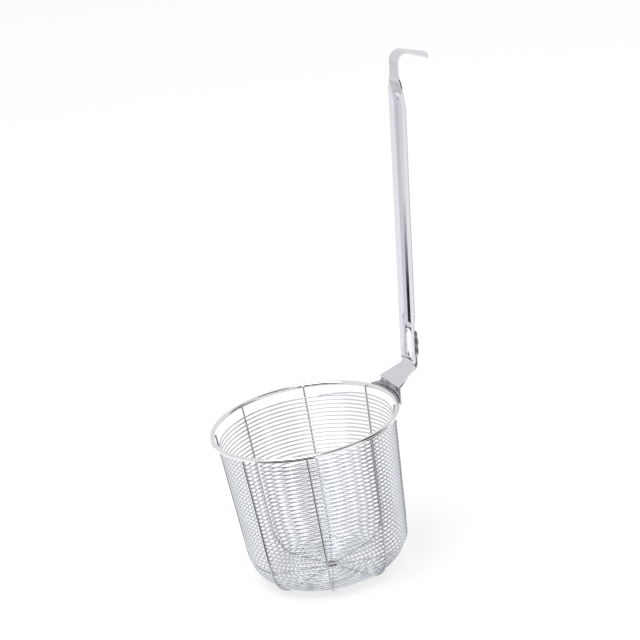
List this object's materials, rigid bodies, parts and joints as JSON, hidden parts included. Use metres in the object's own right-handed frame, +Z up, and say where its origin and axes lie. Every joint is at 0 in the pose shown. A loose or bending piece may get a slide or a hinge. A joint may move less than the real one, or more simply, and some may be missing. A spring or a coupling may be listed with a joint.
{
  "type": "deep fryer basket",
  "caption": "Deep round basket of wound steel wire under a thick wire rim, with a long pressed steel handle that ends in a hook.",
  "frame": {"origin": "underside of the floor at its middle, on the flat foot of the weld where the stays meet", "axes": "+Z up along the basket's axis; +X towards the handle, which stands in the XZ plane; +Y to the left of the handle seen from the basket"},
  "size_m": [0.2749, 0.18, 0.4686],
  "materials": {
    "rim_wire": "polished stainless steel",
    "drawn_wire": "bright drawn stainless wire",
    "pressed_sheet": "satin pressed stainless sheet",
    "tinted_sheet": "stainless sheet darkened by the heat of welding",
    "weld_metal": "dull brown-grey weld"
  },
  "bodies": {
    "root": {"rim_ring": "rim_wire", "winding_wire": "drawn_wire", "stay_1": "drawn_wire", "stay_2": "drawn_wire", "stay_3": "drawn_wire", "stay_4": "drawn_wire", "stay_5": "drawn_wire", "stay_6": "drawn_wire", "stay_7": "drawn_wire", "stay_8": "drawn_wire", "centre_weld": "weld_metal", "handle": "pressed_sheet", "foot_bracket": "tinted_sheet", "handle_weld_near": "weld_metal", "handle_weld_far": "weld_metal", "foot_weld": "weld_metal"}
  },
  "joints": []
}
